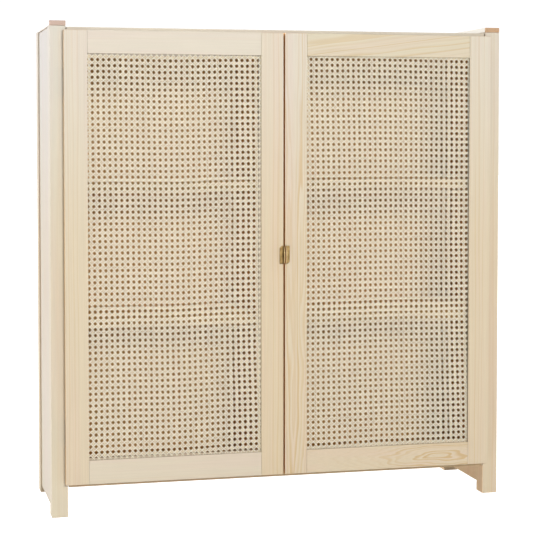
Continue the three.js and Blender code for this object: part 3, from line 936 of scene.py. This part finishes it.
def shell(front, back):
    """A closed solid between two grids of points of the same shape, as its points and its faces,
    which point outwards."""
    rows, columns = front.shape[:2]
    loop = 2 * columns
    points = np.concatenate([front, back[:, ::-1]], 1).reshape(-1, 3)
    line = np.arange(columns - 1)
    first = np.stack([line, line + 1, loop - 2 - line, loop - 1 - line], 1)
    last = first[:, ::-1] + (rows - 1) * loop
    quads = np.concatenate([tube_walls(rows, loop), first, last])
    a, b, c, d = (points[quads[:, k]] for k in range(4))
    volume = (np.cross(b - a, c - a) * a).sum() + (np.cross(c - a, d - a) * a).sum()
    return points, quads if volume > 0 else quads[:, ::-1]


PULL_THICKNESS = 0.002
PULL_GAP = 0.0003
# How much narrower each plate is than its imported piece
PULL_TRIM = {"left": 0.0015, "right": 0.0}
BEND = 0.0016
LIP_END = math.radians(88)
# Radius and power of the plates' corners
BIG_CORNER = (0.0072, 1.35)
SMALL_CORNER = (0.0026, 2.0)
# Steps over an edge, round the bend and up the plate
RIM = 1 - np.cos(np.linspace(0, math.pi / 2, 4))
BEND_STEPS = 10
UP_STEPS = 16
# The most of half the height that an edge may take
SOFTEST = 0.45
# Where painted shade darkens the plates towards their tops and bottoms, in half heights
DARK_FROM, DARK_OVER = 0.72, 0.2


def corner_drop(run, radius, power):
    """How far a rounded corner falls below its edge at this run from the end of the plate: a
    quarter of a superellipse."""
    share = np.clip(1 - run / radius, 0, 1)
    return radius * (1 - (1 - share ** power) ** (1 / power))


def rounded(depth, ease, half):
    """Half the thickness at this depth inside an edge that is rounded with radius ease."""
    return half - ease + np.sqrt(ease ** 2 - (ease - np.minimum(depth, ease)) ** 2)


def pull_mesh(side):
    """A bent plate as a shell over a grid. One way runs along the middle of the plate, round the bend
    and out along the lip. The other way runs up, between edges that follow the two rounded corners on
    the plate and half an oval on the lip. All edges are rounded. Its point attribute is one at the top
    and bottom, where it paints shade on the plate, and minus one on the back of the lip, which takes a
    brighter colour."""
    ease, steps = settings("brass").ease, settings("brass").outline_steps
    low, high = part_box(f"{side}_door_pull")
    half = PULL_THICKNESS / 2
    inner, outer = sorted((abs(low.x), abs(high.x)))
    outer -= PULL_TRIM[side]
    tall, centre = (high.z - low.z) / 2, (high.z + low.z) / 2
    plate_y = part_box(f"{side}_door_inner_stile")[0].y - PULL_GAP - half
    bend_x, bend_y = inner + half + BEND, plate_y - BEND
    reach = bend_y - low.y

    run = (outer - bend_x) * (1 - np.cos(np.linspace(0, math.pi / 2, steps)))
    turn = np.linspace(0, math.pi / 2, BEND_STEPS)[1:-1]
    oval = np.linspace(0, LIP_END, steps)
    ends = np.zeros(len(turn))
    across = np.concatenate([outer - run, bend_x - BEND * np.sin(turn), np.full(steps, bend_x - BEND)])
    depth = np.concatenate([np.full(steps, plate_y), bend_y + BEND * np.cos(turn),
                            bend_y - reach * np.sin(oval)])
    angle = np.concatenate([np.zeros(steps), turn, np.full(steps, math.pi / 2)])
    corners = [SMALL_CORNER, BIG_CORNER] if side == "left" else [BIG_CORNER, SMALL_CORNER]
    bottom, top = (sign * np.concatenate([tall - corner_drop(run, *corner), tall + ends,
                                          tall * np.cos(oval)])[:, None]
                   for sign, corner in zip((-1, 1), corners))
    from_end = np.concatenate([run, ease + ends, reach * (1 - np.sin(oval))])[:, None]

    soft = np.minimum(ease, SOFTEST * (top - bottom) / 2)
    middle = np.linspace(0, 1, UP_STEPS)[1:-1]
    up = np.concatenate([bottom + soft * RIM, bottom + soft + (top - bottom - 2 * soft) * middle,
                         top - soft * RIM[::-1]], 1)
    edge = rounded(np.minimum(up - bottom, top - up), soft, half)
    thick = edge * rounded(from_end, ease, half) / half
    points = [np.stack([SIDES[side] * (across[:, None] + face * np.sin(angle)[:, None] * thick),
                        depth[:, None] - face * np.cos(angle)[:, None] * thick, centre + up], -1)
              for face in (1, -1)]
    corners, quads = shell(*points)
    mesh = quad_mesh(f"{side}_door_pull_plate", corners, quads)
    # Painted shade towards the plate's top and bottom; minus one marks the back of the lip
    dark = np.clip((np.abs(corners[:, 2] - centre) / tall - DARK_FROM) / DARK_OVER, 0, 1)
    dark.reshape(len(across), -1)[-steps:, up.shape[1]:] = -1
    patina = mesh.attributes.new("patina", "FLOAT", "POINT")
    patina.data.foreach_set("value", dark.astype(np.float32))
    return mesh


HEAD_RADIUS = 0.0031
HEAD_RISE = 0.0008
HEAD_STEPS = 23
DOME_POWER = 0.6
RECESS = {"wide": 0.00042, "long": 0.0017, "soft": 0.00012, "deep": 0.0007}
LEAF_THICKNESS = 0.002
LEAF_ROWS = (-0.021, 0.0, 0.021)
LEAF_INSETS = (0.0085, 0.0165, 0.0085)


def screw_heads(name, places, facing):
    """Round screw heads with a cross recess. Each is a square grid drawn out to a disc, with a
    dome as its height, less two crossed slots with soft sides."""
    a, b = np.meshgrid(*[np.linspace(-1, 1, HEAD_STEPS)] * 2, indexing="ij")
    u, v = (HEAD_RADIUS * s * np.sqrt(1 - t ** 2 / 2) for s, t in ((a, b), (b, a)))

    def slot(across, along):
        walls = [np.clip((limit - np.abs(value)) / RECESS["soft"], 0, 1)
                 for value, limit in ((across, RECESS["wide"]), (along, RECESS["long"]))]
        return walls[0] * walls[1]

    dome = HEAD_RISE * (1 - (u ** 2 + v ** 2) / HEAD_RADIUS ** 2) ** DOME_POWER
    face = dome - np.maximum(slot(u, v), slot(v, u)) * np.minimum(RECESS["deep"], dome)
    facing = np.array(facing, float)
    up = np.array((0.0, 0.0, 1.0))
    disc = u[..., None] * np.cross(facing, up) + v[..., None] * up
    return joined_mesh(name, [shell(place + disc + face[..., None] * facing,
                                    place + disc - HEAD_RISE * facing) for place in places])


def leaf_screws(side):
    """The screw heads of one side's hinges: on the case leaves, which face the room inside, and on
    the door leaves, which face back."""
    sign = SIDES[side]
    case, door = [], []
    for level in ("lower", "upper"):
        low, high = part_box(f"{side}_{level}_hinge_case_leaf")
        face = sign * min(abs(low.x), abs(high.x))
        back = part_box(f"{side}_{level}_hinge_door_leaf")
        inner = min(abs(back[0].x), abs(back[1].x))
        for rise, inset in zip(LEAF_ROWS, LEAF_INSETS):
            case.append((face, high.y - inset, (low.z + high.z) / 2 + rise))
            door.append((sign * (inner + inset), back[0].y + LEAF_THICKNESS,
                         (back[0].z + back[1].z) / 2 + rise))
    return (("case", "cabinet", case, (-sign, 0, 0)), ("door", side + "_door", door, (0, 1, 0)))


class CABINET_OT_metalwork(Operator):
    """Make the pulls and screw heads, and dress the hinges, strike plates and catches"""

    bl_idname = "cabinet.metalwork"
    bl_label = "Metalwork"

    def execute(self, context):
        brass = settings("brass")
        pull = metal_material("Pull brass", brass.bright, brass.aged, **PULL_BRASS)
        hinge = metal_material("Hinge brass", brass.bright, brass.aged, **HINGE_BRASS)
        by_slot = {"brass": hinge, "steel": metal_material("Zinc steel", **ZINC),
                   "catch_plastic": plastic_material()}
        for node, slot in SLOTS.items():
            if slot in by_slot and not node.endswith("_pull"):
                give_material(eased_copy(node, brass.ease / 2), by_slot[slot])
        for side in SIDES:
            plate = add_piece(pull_mesh(side), side + "_door")
            give_material(plate, pull)
            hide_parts(f"{side}_door_pull")
            for leaf, body, places, facing in leaf_screws(side):
                mesh = screw_heads(f"{side}_{leaf}_leaf_screws", places, facing)
                heads = add_piece(mesh, body)
                give_material(heads, hinge)
        return {"FINISHED"}


# Stage

# Each light: name, place, aim, size, share of the power and colour
LIGHTS = (
    ("Front light", (0.8, -12.9, 4.25), (0.0, 0.0, 0.65), (3.0, 2.2), 1.0, (1.0, 1.0, 1.0)),
    ("Side light", (-3.3, 0.3, 1.4), (-0.6, 0.0, 0.7), (1.6, 2.3), 0.058, (0.96, 0.98, 1.1)),
    ("Cap light", (-0.45, 0.02, 1.62), (0.56, 0.0, 1.24), (0.3, 0.3), 0.0036, (0.95, 1.0, 1.0)),
    ("Top light", (-0.2, -1.3, 2.55), (0.0, -0.1, 1.15), (1.2, 0.5), 0.0035, (0.75, 0.95, 1.25)),
)
# Light from all round: an axis, two places along it and the light at each
AROUND = (("X", -0.1, -0.9, 0.0, 0.24), ("X", 0.2, 0.95, 0.0, 0.5), ("Y", -0.1, 0.8, 0.03, 0.8),
          ("Z", 0.45, 0.95, 0.0, 0.3))
BACKDROP = 1.1
CAMERA_REACH = 60.0
FLOOR_HALF = 30.0
FLOOR_ROUGHNESS = 0.9
# The floor's own light, and what it gains where the camera sees it
FLOOR_GLOW = 0.28
FLOOR_GLOW_SEEN = 0.74
WHITE = (1.0, 1.0, 1.0, 1.0)


def add_camera(stage):
    """The camera that sees what the photograph shows."""
    data = bpy.data.cameras.new("Camera")
    data.lens = stage.lens
    data.shift_y = stage.shift
    data.clip_end = CAMERA_REACH
    camera = new_object("Camera", data)
    camera.location = stage.camera_place
    camera.rotation_euler = (math.pi / 2 - stage.camera_pitch, 0, -stage.camera_yaw)
    bpy.context.scene.camera = camera


def floor_material(colour):
    """Pale paint with some light of its own, and more of it where the camera sees it."""
    material, nodes, shader = new_material("Pale floor")
    seen = nodes.add("LightPath").outputs["Is Camera Ray"]
    glow = nodes.math("MULTIPLY_ADD", seen, FLOOR_GLOW_SEEN, FLOOR_GLOW)
    nodes.fill(shader, {"Base Color": rgba(colour), "Roughness": FLOOR_ROUGHNESS,
                        "Emission Color": WHITE, "Emission Strength": glow})
    return material


def add_lights(power):
    """Area lights that the camera doesn't see, each with its share of this power."""
    for name, place, aim, size, share, colour in LIGHTS:
        light = bpy.data.lights.new(name, "AREA")
        light.shape = "RECTANGLE"
        light.size, light.size_y = size
        light.energy = power * share
        light.color = colour
        lamp = new_object(name, light)
        lamp.location = place
        lamp.rotation_euler = (Vector(aim) - lamp.location).to_track_quat("-Z", "Y").to_euler()
        lamp.visible_camera = False


def add_world():
    """Soft light from all round, which the camera sees as a plain white backdrop."""
    world = bpy.data.worlds.new("Studio")
    world.use_nodes = True
    bpy.context.scene.world = world
    nodes = Nodes(world.node_tree)
    direction = nodes.split(nodes.add("TexCoord").outputs["Generated"])
    around = 0.0
    for axis, *step in AROUND:
        around = nodes.math("ADD", around, nodes.smooth(direction[axis], *step))
    seen = nodes.add("LightPath").outputs["Is Camera Ray"]
    strength = nodes.math("MAXIMUM", around, nodes.math("MULTIPLY", seen, BACKDROP))
    nodes.fill(world.node_tree.nodes["Background"], {"Color": WHITE, "Strength": strength})


class CABINET_OT_stage(Operator):
    """Lay the floor and set the camera and the soft studio light"""

    bl_idname = "cabinet.stage"
    bl_label = "Stage"

    def execute(self, context):
        stage = settings("stage")
        context.scene.view_settings.view_transform = "Standard"
        add_camera(stage)
        corners = FLOOR_HALF * np.array([(-1, -1, 0), (1, -1, 0), (1, 1, 0), (-1, 1, 0)])
        floor = new_object("Floor", quad_mesh("Floor", corners, np.array([[0, 1, 2, 3]])))
        give_material(floor, floor_material(stage.floor_colour))
        add_lights(stage.light_power)
        add_world()
        return {"FINISHED"}


OPERATORS = (CABINET_OT_carcass, CABINET_OT_door_frames, CABINET_OT_cane, CABINET_OT_metalwork,
             CABINET_OT_stage)
GROUPS = {"wood": WoodSettings, "cane": CaneSettings, "brass": BrassSettings, "stage": StageSettings}


class CABINET_PT_panel(Panel):
    """Lists the steps and their settings in the sidebar."""

    bl_label = "Cane Door Cabinet"
    bl_idname = "CABINET_PT_panel"
    bl_space_type = "VIEW_3D"
    bl_region_type = "UI"
    bl_category = "Cabinet"

    def draw(self, context):
        for operator in OPERATORS:
            self.layout.operator(operator.bl_idname)
        for name in GROUPS:
            box = self.layout.box()
            box.label(text=name.capitalize())
            group = settings(name)
            for key in group.__annotations__:
                box.prop(group, key)


def register():
    for made in (*GROUPS.values(), *OPERATORS, CABINET_PT_panel):
        bpy.utils.register_class(made)
    for name, group in GROUPS.items():
        setattr(bpy.types.Scene, "cabinet_" + name, PointerProperty(type=group))


def unregister():
    for name in GROUPS:
        delattr(bpy.types.Scene, "cabinet_" + name)
    for made in reversed((*GROUPS.values(), *OPERATORS, CABINET_PT_panel)):
        bpy.utils.unregister_class(made)


def main():
    """Builds every piece in order."""
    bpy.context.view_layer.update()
    register()
    build_growth_rings()
    build_zone()
    for operator in OPERATORS:
        module, name = operator.bl_idname.split(".")
        getattr(getattr(bpy.ops, module), name)()


if __name__ == "__main__":
    main()
